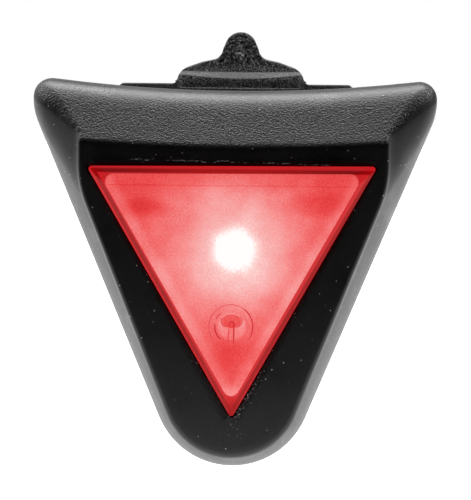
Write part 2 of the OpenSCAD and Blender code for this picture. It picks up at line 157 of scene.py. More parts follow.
floor_z = cad_box[0][2] - 20 * MM
table_edge = -92 * MM
table_reach = 3
corners = [(-table_reach, table_edge), (table_reach, table_edge),
           (table_reach, table_reach), (-table_reach, table_reach)]
floor_mesh = bpy.data.meshes.new("floor")
floor_mesh.from_pydata([(x, y, floor_z) for x, y in corners], [], [(0, 1, 2, 3)])
floor = bpy.data.objects.new("floor", floor_mesh)
bpy.context.scene.collection.objects.link(floor)
table = bpy.data.materials.new("light_table")
table.use_nodes = True
table_shader = table.node_tree.nodes["Principled BSDF"]
table_shader.inputs["Base Color"].default_value = grey(0.8)
table_shader.inputs["Roughness"].default_value = 0.9
table_shader.inputs["Emission Strength"].default_value = 0.92
paper = put(table.node_tree, "ShaderNodeTexNoise", {"Scale": 60.0, "Detail": 3.0}).outputs[0]
table.node_tree.links.new(mixed(table.node_tree, paper, grey(0.9), grey(0.98)),
                          table_shader.inputs["Emission Color"])
# From below the table is clear, so that the light can be looked at from there
underside = put(table.node_tree, "ShaderNodeNewGeometry").outputs["Backfacing"]
solid_above = calc(table.node_tree, "SUBTRACT", 1.0, underside)
table.node_tree.links.new(solid_above, table_shader.inputs["Alpha"])
floor_mesh.materials.append(table)
floor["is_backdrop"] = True

# Rubber housing -----------------------------------------------------------------------------
# One soft moulding of black rubber, open at the back and round the lens, that grips the inner
# frame. Its roof and ears keep the grain of the mould, and its front face is smooth.

housing_low, housing_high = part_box("rubber_housing")
lens_low, lens_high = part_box("lens")
frame_low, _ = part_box("front_frame")
board_low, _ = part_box("circuit_board")
bottom = housing_low.z
body_mm = (housing_high.y - housing_low.y) / MM
face_mm = housing_low.y / MM
frame_front_mm = frame_low.y / MM
board_front_mm = board_low.y / MM
ear_half_mm = housing_high.x / MM
ear_top_mm = (housing_high.z - bottom) / MM
# The lens's round lower corner stops short of a sharp triangle's, and this share makes up for it
lens_tip_share = 1.0119
lens_r_mm = (lens_high.z - lens_low.z) / 3 / MM * lens_tip_share
lens_z_mm = (lens_high.z - bottom) / MM - lens_r_mm
lens_gap_mm = 0.12
lens_width = 0.985
lens_height = 0.988
lens_askew = 0.007
lens_shift_mm = -0.09
lens_lift_mm = 0.15
overhang_mm = 0.9
flange_out_mm = 0.6
ring_gap_mm = 0.2
ear_mm = 1.9
ear_bend_mm = 7.5
bend_z_mm = ear_top_mm - 3.5
nose_mm = 8.7
face_nose_mm = nose_mm - 1.3
face_step_mm = 1.4
face_top_mm = lens_z_mm + lens_r_mm + 2.1
face_half_mm = sqrt(3) * lens_r_mm + 0.9
dip_mm = 1.2
face_dip_mm = 0.6
rubber_mm = 1.7
top_mid_mm = ear_top_mm - dip_mm
crown_mm = 0.95
crown_from_mm = 18.0
# Points along each stretch of half an outline: bottom, side, bend, ear and top
STRETCHES = (14, 20, 7, 12, 26)


def mix(a, b, share):
    """The value a share of the way from one to another."""
    return a + (b - a) * share


def arc(centre, radius, start, stop, steps):
    """Points on an arc, both ends included. Angles are in degrees."""
    turns = [radians(mix(start, stop, i / steps)) for i in range(steps + 1)]
    return [(centre[0] + radius * cos(a), centre[1] + radius * sin(a)) for a in turns]


def line(start, stop, steps):
    """Points between two ends, neither end included."""
    return [(mix(start[0], stop[0], i / steps), mix(start[1], stop[1], i / steps))
            for i in range(1, steps)]


def mirrored(half):
    """A whole outline from its right half, bottom to top."""
    return half + [(-x, z) for x, z in half[-2:0:-1]]


def slope(depth, start, straight, share):
    """The share of the way from the front outline to the rear one at a depth."""
    t = (depth - start) / straight
    rest = min(max((t - 1) / (2 * (1 - share) / share), 0), 1)
    return share * min(max(t, 0), 1) + (1 - share) * (1 - (1 - rest) ** 2)


def body_ring(depth):
    """The housing's outline at a depth behind its front face."""
    roof = slope(depth, 0, 4.0, 0.62)
    ear = slope(depth, 1.0, 3.6, 0.7)
    side = 1 - (1 - min(depth / 9, 1)) ** 2
    low_r = mix(face_nose_mm, nose_mm, side)
    low = (0, mix(face_step_mm, 0, side) + low_r)
    half = mix(face_half_mm, ear_half_mm, ear)
    bend = mix(face_top_mm - 4.2, bend_z_mm, ear)
    reach = (half, bend - low[1])
    lean = atan(reach[0] / reach[1]) - asin(low_r / hypot(*reach))
    tip_r = mix(0.5, ear_mm, ear)
    face_bow = face_half_mm ** 2 / face_dip_mm
    bow = mix(face_bow, (ear_half_mm - ear_mm) ** 2 / dip_mm, roof) / 2
    high = (0, mix(face_top_mm, top_mid_mm, roof) + bow)
    b = asin((half - tip_r) / (bow + tip_r))
    tip = (half - tip_r, high[1] - (bow + tip_r) * cos(b))
    bend_r = min(mix(12, ear_bend_mm, ear), (tip[1] - bend) / tan(lean / 2))
    nose = arc(low, low_r, -90, -degrees(lean), STRETCHES[0])
    curve = arc((half - bend_r, bend + bend_r * tan(lean / 2)), bend_r, -degrees(lean), 0,
                STRETCHES[2] - 1)
    return mirrored(nose + line(nose[-1], curve[0], STRETCHES[1]) + curve
                    + arc(tip, tip_r, 5, 90 + degrees(b), STRETCHES[3])
                    + arc(high, bow, degrees(b) * 5 / 6 - 90, -90, STRETCHES[4] - 1))


def wedge_ring(tip, lean, low_end, high_end, corner):
    """A triangle with a round bottom and two round top corners. The lean is from upright."""
    low_r = (low_end - tip) / (1 / sin(lean) - 1)
    high = ((high_end - corner - tip) * tan(lean) - corner / cos(lean), high_end - corner)
    nose = arc((0, low_end + low_r), low_r, -90, -degrees(lean), STRETCHES[0])
    ear = arc(high, corner, -degrees(lean), 90, STRETCHES[3])
    end = (0, high_end)
    return mirrored(nose + line(nose[-1], ear[0], STRETCHES[1] + STRETCHES[2])
                    + ear + line(ear[-1], end, STRETCHES[4]) + [end])


def lens_ring(r, corner):
    """The lens's triangle at a distance r from its centre. It sits a hair askew in the rubber."""
    tip = -2 * r
    ring = wedge_ring(tip, pi / 6, tip + corner, r, corner)
    return [(x * lens_width - lens_askew * z + lens_shift_mm,
             lens_z_mm + lens_lift_mm + z * lens_height + lens_askew * x) for x, z in ring]


def inset(ring, amount):
    """An outline moved inward."""
    moved = []
    for i, (x, z) in enumerate(ring):
        before, after = ring[i - 1], ring[(i + 1) % len(ring)]
        along = (after[0] - before[0], after[1] - before[1])
        size = hypot(*along)
        moved.append((x - along[1] / size * amount, z + along[0] / size * amount))
    return moved


def piece_from(name, points, faces, smooth=radians(32)):
    """A mesh object from points in metres, with smooth shading except on real edges."""
    mesh = bpy.data.meshes.new(name)
    mesh.from_pydata(points, [], faces)
    shape = bmesh.new()
    shape.from_mesh(mesh)
    bmesh.ops.remove_doubles(shape, verts=shape.verts, dist=2e-7)
    bmesh.ops.recalc_face_normals(shape, faces=shape.faces)
    shape.to_mesh(mesh)
    shape.free()
    mesh.shade_smooth()
    mesh.set_sharp_from_angle(angle=smooth)
    piece = bpy.data.objects.new(name, mesh)
    bpy.context.scene.collection.objects.link(piece)
    return piece


def crown(height):
    """How far the front face curves back towards its bottom, in millimetres."""
    return crown_mm * max(0, 1 - height / crown_from_mm) ** 2


def loft(name, rings, closed, smooth=radians(32)):
    """A skin over rings of (outline, depth, bow), closed into a tube or with two flat ends.
    The bow is the share of the front face's crown that the ring follows."""
    count = len(rings[0][0])
    points = []
    for outline, y, bow in rings:
        points += [(x * MM, (y + bow * crown(z)) * MM, bottom + z * MM) for x, z in outline]
    faces = []
    for i in range(len(rings) if closed else len(rings) - 1):
        a, b = i * count, (i + 1) % len(rings) * count
        faces += [(a + j, a + (j + 1) % count, b + (j + 1) % count, b + j) for j in range(count)]
    if not closed:
        for a, outline, y in ((0, *rings[0][:2]), ((len(rings) - 1) * count, *rings[-1][:2])):
            centre = len(points)
            height = sum(z for _, z in outline) / count
            points.append((0, y * MM, bottom + height * MM))
            faces += [(a + j, a + (j + 1) % count, centre) for j in range(count)]
    return piece_from(name, points, faces, smooth)


def applied(piece):
    """Makes a piece's modifiers part of its mesh."""
    ready = piece.evaluated_get(bpy.context.evaluated_depsgraph_get())
    mesh = bpy.data.meshes.new_from_object(ready)
    piece.modifiers.clear()
    piece.data = mesh
    return piece


def cut_away(piece, *cutters):
    """Takes other pieces' shapes out of a piece, and removes them."""
    for cutter in cutters:
        cut = piece.modifiers.new("cut", "BOOLEAN")
        cut.object = cutter
        cut.operation = "DIFFERENCE"
        cut.solver = "EXACT"
    applied(piece)
    for cutter in cutters:
        bpy.data.objects.remove(cutter)
    return piece


def block(name, low, high):
    """A box between two corners, in metres."""
    points = [(x, y, z) for x in (low[0], high[0]) for y in (low[1], high[1])
              for z in (low[2], high[2])]
    faces = [(0, 1, 3, 2), (4, 6, 7, 5), (0, 4, 5, 1), (2, 3, 7, 6), (0, 2, 6, 4), (1, 5, 7, 3)]
    return piece_from(name, points, faces)


face_ring = body_ring(0)
opening_mm = lens_r_mm + lens_gap_mm
opening_corner_mm = 0.45
hole_soft_mm = 0.15
front_ring_mm = lens_r_mm - overhang_mm + flange_out_mm + ring_gap_mm
lens_hole = lens_ring(opening_mm + hole_soft_mm, opening_corner_mm + hole_soft_mm)
face_bands = 6
skin_steps = 30
rear_soft_mm = 0.35

# The face rolls into the roof and the sides, and the crown dies out over the first part of them
edge_mm = 0.42
crown_depth_mm = 6
shell = []
for turn in (0, 15, 30, 45, 60, 75):
    depth = edge_mm * (1 - cos(radians(turn)))
    shell.append((inset(body_ring(depth), edge_mm * (1 - sin(radians(turn)))), face_mm + depth, 1.0))
for i in range(1, skin_steps):
    depth = (body_mm - rear_soft_mm) * i / skin_steps
    shell.append((body_ring(depth), face_mm + depth, max(0, 1 - depth / crown_depth_mm)))
rear_ring = body_ring(body_mm)
shell += [(rear_ring, -rear_soft_mm, 0), (inset(rear_ring, 0.1), -0.1, 0),
          (inset(rear_ring, rear_soft_mm), 0, 0)]
# Inside, a wedge holds the frame and the battery, and a smaller one the frame's front ring
wedge_top_mm = top_mid_mm - 2.4
wedge_corner_mm = 2.0
ring_corner_mm = 2.8
rise_mm = bend_z_mm - nose_mm
side_lean = atan(ear_half_mm / rise_mm) - asin(nose_mm / hypot(ear_half_mm, rise_mm))
wedge_tip_mm = nose_mm - (nose_mm - rubber_mm) / sin(side_lean)
rear_wedge = wedge_ring(wedge_tip_mm, side_lean, rubber_mm, wedge_top_mm, wedge_corner_mm)
front_wedge = lens_ring(front_ring_mm, ring_corner_mm)
hole = lens_ring(opening_mm, opening_corner_mm)
shell += [(rear_wedge, 0, 0), (rear_wedge, board_front_mm, 0), (front_wedge, board_front_mm, 0),
          (front_wedge, frame_front_mm, 0), (hole, frame_front_mm, 0),
          (hole, face_mm + hole_soft_mm, 1.0),
          (lens_ring(opening_mm + 0.04, opening_corner_mm), face_mm + 0.05, 1.0)]
for i in range(face_bands):
    share = i / face_bands
    band = [(mix(a[0], b[0], share), mix(a[1], b[1], share))
            for a, b in zip(lens_hole, inset(face_ring, edge_mm))]
    shell.append((band, face_mm, 1.0))
housing = loft("rubber_housing_skin", shell, closed=True)
# The hook plate's strip lies in a notch in the rear rim
notch_half_mm = 13.25
notch_depth_mm = 1.8
notch_floor_mm = 36.9
_, plate_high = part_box("hook_plate")
notch = block("notch", (-notch_half_mm * MM, -notch_depth_mm * MM, bottom + notch_floor_mm * MM),
              (notch_half_mm * MM, 1 * MM, plate_high.z))
cut_away(housing, notch)
housing.data.shade_smooth()
housing.data.set_sharp_from_angle(angle=radians(32))


def paint(red, green, blue):
    """A colour given as it looks on a screen, from 0 to 255 each."""
    return tuple((c / 255) ** 2.2 for c in (red, green, blue)) + (1.0,)


def effect(name, inputs, outputs):
    """A shader node group with number inputs and outputs, and its two end nodes."""
    group = bpy.data.node_groups.new(name, "ShaderNodeTree")
    for socket, value in inputs.items():
        way = group.interface.new_socket(socket, in_out="INPUT", socket_type="NodeSocketFloat")
        way.default_value = value
    for socket in outputs:
        group.interface.new_socket(socket, in_out="OUTPUT", socket_type="NodeSocketFloat")
    start = group.nodes.new("NodeGroupInput").outputs
    end = group.nodes.new("NodeGroupOutput").inputs
    return group, start, end


def lay_on(tree, group, **inputs):
    """Places a shared effect in a material, with this material's own values."""
    node = put(tree, "ShaderNodeGroup", node_tree=group)
    for name, value in inputs.items():
        node.inputs[name].default_value = value
    return node


# The pebbled skin that a spark-cut mould leaves, and slow changes of tone across it
mould_grain, start, end = effect("mould_grain", {"Size": 0.3 * MM}, ("Height", "Tone"))
place = put(mould_grain, "ShaderNodeTexCoord").outputs["Object"]
per_size = calc(mould_grain, "DIVIDE", 1.0, start["Size"])
pebbles = put(mould_grain, "ShaderNodeTexNoise",
              {"Vector": place, "Scale": per_size, "Detail": 2.0, "Roughness": 0.55}).outputs[0]
pores = put(mould_grain, "ShaderNodeTexVoronoi",
            {"Vector": place, "Scale": calc(mould_grain, "MULTIPLY", per_size, 1.15)},
            feature="SMOOTH_F1").outputs["Distance"]
slow = put(mould_grain, "ShaderNodeTexNoise",
           {"Vector": place, "Scale": calc(mould_grain, "MULTIPLY", per_size, 0.06),
            "Detail": 3.0}).outputs[0]
mould_grain.links.new(calc(mould_grain, "ADD", pebbles, calc(mould_grain, "MULTIPLY", pores, 0.5)),
                      end["Height"])
mould_grain.links.new(slow, end["Tone"])

# Fine pale specks of dust that cling to rubber and plastic, more of them where Amount is higher
dust_specks, start, end = effect("dust_specks", {"Spacing": 1.4 * MM, "Amount": 0.3}, ("Mask",))
place = put(dust_specks, "ShaderNodeTexCoord").outputs["Object"]
cells = put(dust_specks, "ShaderNodeTexVoronoi",
            {"Vector": place, "Scale": calc(dust_specks, "DIVIDE", 1.0, start["Spacing"])})
chance = put(dust_specks, "ShaderNodeSeparateColor", {0: cells.outputs["Color"]}).outputs
size = between(dust_specks, chance[1], 0.0, 1.0, 0.05, 0.15)
reach = calc(dust_specks, "DIVIDE", cells.outputs["Distance"], size)
near = between(dust_specks, reach, 0.4, 1.0, 1, 0)
kept = calc(dust_specks, "LESS_THAN", chance[0], start["Amount"])
dust_specks.links.new(calc(dust_specks, "MULTIPLY", near, kept), end["Mask"])

# Rubbed and handled patches, where a surface turns smoother and a little paler
rub_marks, start, end = effect("rub_marks", {"Size": 6 * MM, "Amount": 0.5}, ("Mask",))
place = put(rub_marks, "ShaderNodeTexCoord").outputs["Object"]
cloud = put(rub_marks, "ShaderNodeTexNoise",
            {"Vector": place, "Scale": calc(rub_marks, "DIVIDE", 1.0, start["Size"]),
             "Detail": 5.0, "Roughness": 0.65}).outputs[0]
patches = between(rub_marks, cloud, 0.45, 0.7)
rub_marks.links.new(calc(rub_marks, "MULTIPLY", patches, start["Amount"]), end["Mask"])


def new_material(name, roughness=0.5, **settings):
    """A material, its node tree and its Principled shader, with plain settings put on it."""
    material = bpy.data.materials.new(name)
    material.use_nodes = True
    shader = material.node_tree.nodes["Principled BSDF"]
    shader.inputs["Roughness"].default_value = roughness
    for socket, value in settings.items():
        shader.inputs[socket.replace("_", " ")].default_value = value
    return material, material.node_tree, shader.inputs


def relief(tree, height, distance):
    """A normal that leans with a height, which stands this far out of the surface at most."""
    return put(tree, "ShaderNodeBump",
               {"Height": height, "Distance": distance, "Strength": 1.0}).outputs[0]


# The grain shows on the roof, fades on its level lip, and is almost gone on the faces
rubber, tree, shader = new_material("soft_rubber", Specular_IOR_Level=0.5)
facing = put(tree, "ShaderNodeSeparateXYZ",
             {0: put(tree, "ShaderNodeTexCoord").outputs["Normal"]}).outputs
roof = between(tree, facing[2], 0.15, 0.5)
lip = between(tree, facing[2], 0.76, 0.90)
grain = lay_on(tree, mould_grain, Size=0.23 * MM).outputs
fine = lay_on(tree, mould_grain, Size=0.12 * MM).outputs
dust = lay_on(tree, dust_specks, Spacing=0.62 * MM, Amount=0.42).outputs[0]
rubbed = lay_on(tree, rub_marks, Size=5 * MM, Amount=0.8).outputs[0]
away_from_lip = calc(tree, "SUBTRACT", 1.0, calc(tree, "MULTIPLY", lip, 0.85))
coarse = calc(tree, "MULTIPLY", roof, away_from_lip)
height = calc(tree, "ADD", calc(tree, "MULTIPLY", grain[0], coarse),
              calc(tree, "MULTIPLY", fine[0], 0.2))
black = mixed(tree, grain[1], paint(5, 5, 6), paint(12, 12, 12))
speckled = mixed(tree, calc(tree, "MULTIPLY", dust, 0.8), black, paint(215, 215, 212))
tree.links.new(speckled, shader["Base Color"])
worn = between(tree, rubbed, 0.0, 1.0, 0.42, 0.34)
lip_polish = between(tree, lip, 0.0, 1.0, 1.0, 0.72)
tree.links.new(calc(tree, "MULTIPLY", worn, lip_polish), shader["Roughness"])
tree.links.new(relief(tree, height, 0.085 * MM), shader["Normal"])


def dress(piece, material, body, slot, *replaced):
    """Gives a piece its material and its body, and hides the CAD nodes it stands for. The slot is not
    used.
    """
    piece.data.materials.clear()
    piece.data.materials.append(material)
    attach(piece, body)
    if replaced:
        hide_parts(*replaced)


dress(housing, rubber, "housing", "soft_rubber", "rubber_housing")

# Lens ---------------------------------------------------------------------------------------
# One moulding of clear red plastic with a frosted front, a bevelled rim and a skirt whose flange
# is caught behind the frame's front ring. It pivots on the flange's top edge when pressed.

# The front stands a hair back, to leave room for the touch mark's strokes
mark_room_mm = 0.01
front_mm = lens_low.y / MM + mark_room_mm
bevel_mm = 0.9
rim_back_mm = front_mm + 2.0
inside_mm = front_mm + 1.5
flange_back_mm = lens_high.y / MM
skirt_mm = lens_r_mm - overhang_mm
flange_mm = skirt_mm + flange_out_mm
flange_front_mm = -9.95
face_r_mm = lens_r_mm - bevel_mm
inner_r_mm = skirt_mm - 1.0

# From the middle of the face out over the bevel, back along the rim, skirt and flange, and inside
rings = [(lens_ring(face_r_mm * share, 0.95 * share), front_mm, 0)
         for share in (0.04, 0.15, 0.3, 0.45, 0.6, 0.75, 0.88, 0.97)]
rings += [(lens_ring(face_r_mm - 0.06, 0.95), front_mm, 0),
          (lens_ring(face_r_mm + 0.01, 0.95), front_mm + 0.025, 0),
          (lens_ring(face_r_mm + 0.07, 0.9), front_mm + 0.08, 0),
          (lens_ring(lens_r_mm - 0.07, 0.4), front_mm + bevel_mm - 0.07, 0),
          (lens_ring(lens_r_mm - 0.01, 0.34), front_mm + bevel_mm - 0.01, 0),
          (lens_ring(lens_r_mm, 0.33), front_mm + bevel_mm + 0.1, 0),
          (lens_ring(lens_r_mm, 0.33), rim_back_mm - 0.08, 0),
          (lens_ring(lens_r_mm - 0.08, 0.33), rim_back_mm, 0),
          (lens_ring(skirt_mm + 0.1, 0.85), rim_back_mm, 0),
          (lens_ring(skirt_mm, 0.85), rim_back_mm + 0.1, 0),
          (lens_ring(skirt_mm, 0.85), flange_front_mm, 0),
          (lens_ring(flange_mm - 0.05, 2.0), flange_front_mm, 0),
          (lens_ring(flange_mm, 2.0), flange_front_mm + 0.05, 0),
          (lens_ring(flange_mm, 2.0), flange_back_mm, 0),
          (lens_ring(inner_r_mm, 0.6), flange_back_mm, 0),
          (lens_ring(inner_r_mm, 0.6), inside_mm, 0)]
rings += [(lens_ring(inner_r_mm * share, 0.6 * share), inside_mm, 0) for share in (0.6, 0.2)]
lens = loft("lens_moulding", rings, closed=False, smooth=radians(40))

led_place = (0.25 * MM, 0.0, bottom + (lens_z_mm + 0.33) * MM)
mark_mm = lens_z_mm - 8.1
mark_place = (0.0, 0.0, bottom + mark_mm * MM)
pip_lift_mm = 0.62
pip_half_mm = 1.14
pip_tall_mm = 0.80


def distance_from(tree, place, centre, stretch=(1, 1)):
    """How far a point of the front lies from a centre, in millimetres, seen from the front."""
    gaps = [calc(tree, "MULTIPLY", calc(tree, "SUBTRACT", place[i], centre[i]), metre_mm / stretch[k])
            for k, i in enumerate((0, 2))]
    return calc(tree, "SQRT", calc(tree, "ADD", calc(tree, "POWER", gaps[0], 2.0),
                                   calc(tree, "POWER", gaps[1], 2.0)))


def sum_of(tree, *values):
    """Adds up any number of sockets and numbers."""
    total = values[0]
    for value in values[1:]:
        total = calc(tree, "ADD", total, value)
    return total


def scaled(tree, value, by):
    """A value made larger or smaller."""
    return calc(tree, "MULTIPLY", value, by)


red, tree, shader = new_material("red_lens", roughness=0.42, IOR=1.49, Specular_IOR_Level=0.12)
where = put(tree, "ShaderNodeTexCoord").outputs
place = put(tree, "ShaderNodeSeparateXYZ", {0: where["Object"]}).outputs
facing = put(tree, "ShaderNodeSeparateXYZ", {0: where["Normal"]}).outputs
reach = distance_from(tree, place, led_place)
# Warmth runs from 0, deep red, to 1, white, over the frosted face. The LED gives it a core, a
# halo and a wide glow, and what lies behind the face darkens or lifts it here and there
base_warmth = 0.235
core = between(tree, reach, 0.9, 3.25, 0.34, 0.0)
spill = distance_from(tree, place, (led_place[0], 0, led_place[2] - 0.8 * MM))
halo = between(tree, spill, 1.6, 6.8, 0.30, 0.0)
wide = between(tree, reach, 4.5, 12.5, 0.29, 0.0)
below = distance_from(tree, place, (mark_place[0], 0, mark_place[2] - 2.8 * MM), (1.0, 1.3))
shade = between(tree, below, 0.3, 2.7, -0.11, 0.0)
foot = between(tree, place[2], bottom + 8.3 * MM, bottom + 10.0 * MM, 0.13, 0.0)
upper = distance_from(tree, place, (led_place[0], 0, led_place[2] + 5.5 * MM), (1.7, 1.0))
lift = between(tree, upper, 0.5, 4.0, 0.07, 0.0)
# Two dim spots high on the left and right are painted shade in the glow
left_shade_spot = distance_from(tree, place, (-9.3 * MM, 0, led_place[2] + 4.4 * MM), (2.0, 1.0))
right_shade_spot = distance_from(tree, place, (9.2 * MM, 0, led_place[2] + 5.0 * MM), (2.2, 1.2))
shade_spots = sum_of(tree, between(tree, left_shade_spot, 0.3, 1.6, -0.15, 0.0),
               between(tree, right_shade_spot, 0.3, 1.7, -0.16, 0.0))
sides = [calc(tree, "ADD", scaled(tree, place[0], side * cos(pi / 6) * metre_mm),
              scaled(tree, calc(tree, "SUBTRACT", place[2], bottom + lens_z_mm * MM), -metre_mm / 2))
         for side in (-1, 1)]
side_gap = calc(tree, "SUBTRACT", face_r_mm, calc(tree, "MAXIMUM", *sides))
edge_strip = between(tree, side_gap, 0.5, 1.6, 0.13, 0.0)
top_gap = calc(tree, "SUBTRACT", bottom + (lens_z_mm + face_r_mm) * MM, place[2])
# A fine groove runs just below the face's top edge
groove_mm = 1.18
groove_gap = calc(tree, "ABSOLUTE", calc(tree, "SUBTRACT", top_gap, groove_mm * MM))
groove = between(tree, groove_gap, 0.02 * MM, 0.09 * MM, -0.1, 0.0)
ledge = between(tree, top_gap, 0.7 * MM, 2.2 * MM, -0.05, 0.0)
clouds = put(tree, "ShaderNodeTexNoise", {"Scale": 330.0, "Detail": 4.0, "Roughness": 0.6,
                                          "Vector": where["Object"]}).outputs[0]
speckle = put(tree, "ShaderNodeTexNoise", {"Scale": 5000.0, "Detail": 3.0, "Roughness": 0.7,
                                           "Vector": where["Object"]}).outputs[0]
# Round the touch mark the plastic is thinner and paler, and the oval pip in it is redder
disc = distance_from(tree, place, mark_place)
pale_disc = calc(tree, "MULTIPLY", between(tree, disc, 1.35, 1.6, 0.13, 0.0),
                 between(tree, disc, 0.2, 0.9, 0.4, 1.0))
pip_place = (0, 0, mark_place[2] + pip_lift_mm * MM)
pip = distance_from(tree, place, pip_place, (pip_half_mm, pip_tall_mm))
pip_shade = between(tree, pip, 0.82, 1.02, -0.30, 0.0)
uneven = sum_of(tree, scaled(tree, calc(tree, "SUBTRACT", clouds, 0.5), 0.34),
                scaled(tree, calc(tree, "SUBTRACT", speckle, 0.5), 0.46))
warmth = sum_of(tree, base_warmth, core, halo, wide, shade, foot, lift, shade_spots, edge_strip, ledge,
                groove, uneven, pale_disc, pip_shade)
glow = put(tree, "ShaderNodeValToRGB", {0: warmth})
GLOW_STEPS = ((0.0, (208, 48, 50)), (0.16, (228, 72, 73)), (0.34, (237, 103, 103)),
              (0.52, (242, 142, 141)), (0.72, (245, 182, 180)), (0.88, (250, 218, 214)),
              (1.0, (258, 257, 256)))
while len(glow.color_ramp.elements) < len(GLOW_STEPS):
    glow.color_ramp.elements.new(0.5)
for element, (at, colour) in zip(glow.color_ramp.elements, GLOW_STEPS):
    element.position = at
    element.color = paint(*colour)
# The bevel and the sides carry the light round the edge as a deep even red
across = between(tree, calc(tree, "ABSOLUTE", place[0]), 2 * MM, 14 * MM, 1.0, 0.0)
top_rim = mixed(tree, across, paint(118, 14, 16), paint(158, 22, 24))
side_rim = mixed(tree, clouds, paint(118, 10, 13), paint(158, 18, 22))
upward = calc(tree, "SUBTRACT", face_r_mm, scaled(tree, top_gap, metre_mm))
outer = calc(tree, "MAXIMUM", calc(tree, "MAXIMUM", *sides), upward)
edge_line = between(tree, outer, lens_r_mm - 0.42, lens_r_mm - 0.2)
rim = mixed(tree, between(tree, facing[2], 0.2, 0.5), side_rim, top_rim)
lower = between(tree, place[2], bottom + 6.4 * MM, bottom + 8.2 * MM, 0.05, 0.8)
rim = mixed(tree, calc(tree, "MULTIPLY", edge_line, lower), rim, paint(200, 34, 40))
inner_line = between(tree, outer, face_r_mm + 0.08, face_r_mm + 0.24, 1.0, 0.0)
rim = mixed(tree, calc(tree, "MULTIPLY", inner_line, lower), rim, paint(204, 42, 46))
flat = between(tree, place[1], (front_mm + 0.03) * MM, (front_mm + 0.12) * MM, 1.0, 0.0)
lit = mixed(tree, flat, rim, glow.outputs[0])
outside = between(tree, place[1], (front_mm + 1.0) * MM, (front_mm + 1.5) * MM, 1.0, 0.12)
emitted = mixed(tree, outside, grey(0.0), lit)
tree.links.new(emitted, shader["Emission Color"])
shader["Emission Strength"].default_value = 0.97
tree.links.new(mixed(tree, clouds, paint(96, 6, 8), paint(120, 10, 12)), shader["Base Color"])
frost = lay_on(tree, mould_grain, Size=0.16 * MM).outputs
tree.links.new(between(tree, flat, 0.0, 1.0, 0.22, 0.5), shader["Roughness"])
tree.links.new(relief(tree, scaled(tree, frost[0], flat), 0.01 * MM), shader["Normal"])
dress(lens, red, "lens", "red_lens", "lens")

# The post behind the touch mark that presses on the switch
post_mm = 0.9
post_soft_mm = 0.1
post_back_mm = -10.05
post_rings = [(arc((0, mark_mm), r, 0, 345, 23), y, 0)
              for r, y in ((post_mm, inside_mm), (post_mm, post_back_mm - post_soft_mm),
                           (post_mm - post_soft_mm, post_back_mm))]
dress(loft("lens_press_post", post_rings, closed=False), red, "lens", "red_lens")

# Moulding flash -----------------------------------------------------------------------------
# Thin torn rubber left where the two halves of the mould met round the lens opening: a wavy
# thread above the lens, and crumbs beside its lower point.


def ribbon(name, path, width, depth, lift, front):
    """A thin strip along a path of (x, z), laid on a front at this depth, all in millimetres.
    It sinks in by its depth, stands out by its lift, and narrows at both ends."""
    points, faces = [], []
    for i, (x, z) in enumerate(path):
        before, after = path[max(i - 1, 0)], path[min(i + 1, len(path) - 1)]
        along = (after[0] - before[0], after[1] - before[1])
        size = hypot(*along)
        half = width / 2 * (0.35 + 0.65 * min(1, 6 * min(i, len(path) - 1 - i) / len(path)))
        out = (along[1] / size * half, -along[0] / size * half)
        for side, y in ((-1, -lift), (1, -lift), (1, depth), (-1, depth)):
            points.append(((x + side * out[0]) * MM, (front + y) * MM,
                           bottom + (z + side * out[1]) * MM))
    for i in range(len(path) - 1):
        a, b = 4 * i, 4 * i + 4
        faces += [(a + k, a + (k + 1) % 4, b + (k + 1) % 4, b + k) for k in range(4)]
    end = 4 * len(path) - 4
    faces += [(3, 2, 1, 0), (end, end + 1, end + 2, end + 3)]
    return piece_from(name, points, faces)


def lumps(name, places, seed):
    """Small uneven grains of rubber, each a flattened lump at (x, z, size) on the front face."""
    chance = Random(seed)
    points, faces = [], []
    for x, z, size in places:
        first = len(points)
        y = face_mm + crown(z)
        turn = chance.uniform(0, 2 * pi)
        for i in range(6):
            reach = size * chance.uniform(0.6, 1.3) / 2
            points.append(((x + reach * cos(turn + i * pi / 3)) * MM, (y + 0.05) * MM,
                           bottom + (z + 1.6 * reach * sin(turn + i * pi / 3)) * MM))
        points.append((x * MM, (y - size * chance.uniform(0.25, 0.6)) * MM, bottom + z * MM))
        faces += [(first + i, first + (i + 1) % 6, first + 6) for i in range(6)]
        faces.append(tuple(first + i for i in range(5, -1, -1)))
    return piece_from(name, points, faces)


flash_rubber, tree, shader = new_material("flash_rubber", roughness=0.34, Specular_IOR_Level=0.7)
where = put(tree, "ShaderNodeTexCoord").outputs["Object"]
# Pale flecks with a faint glow are painted highlights on the flash
fleck = put(tree, "ShaderNodeTexNoise", {"Scale": 2600.0, "Detail": 2.0, "Vector": where}).outputs[0]
glinting = between(tree, fleck, 0.42, 0.66)
tree.links.new(mixed(tree, glinting, paint(14, 14, 14), paint(150, 152, 154)), shader["Base Color"])
tree.links.new(mixed(tree, glinting, grey(0.0), grey(0.05)), shader["Emission Color"])
shader["Emission Strength"].default_value = 1.0


def edge_at(z):
    """How far the lens's side edge is from the middle at a height, in millimetres."""
    return (z - lens_z_mm - lens_lift_mm + 2 * lens_r_mm * lens_height) * tan(pi / 6) * lens_width


# Most crumbs cling along the right edge, fewer along the left, and some under the lower corner
right_crumbs = 150
left_crumbs = 34
foot_crumbs = 26
chance = Random(11)
crumbs = []
for _ in range(right_crumbs):
    z = mix(3.9, 11.2, chance.betavariate(1.6, 2.0))
    edge = edge_at(z) + 0.2
    crumbs.append((edge + abs(chance.gauss(0, 0.28)) + 0.06, z, chance.uniform(0.05, 0.2)))
for _ in range(left_crumbs):
    z = mix(4.2, 12.5, chance.random())
    crumbs.append((-edge_at(z) - 0.1 - abs(chance.gauss(0, 0.3)), z, chance.uniform(0.04, 0.12)))
for _ in range(foot_crumbs):
    crumbs.append((chance.gauss(0.5, 0.7), 4.0 - chance.random() * 0.7, chance.uniform(0.05, 0.14)))
dress(lumps("moulding_crumbs", crumbs, 5), flash_rubber, "housing", "soft_rubber")
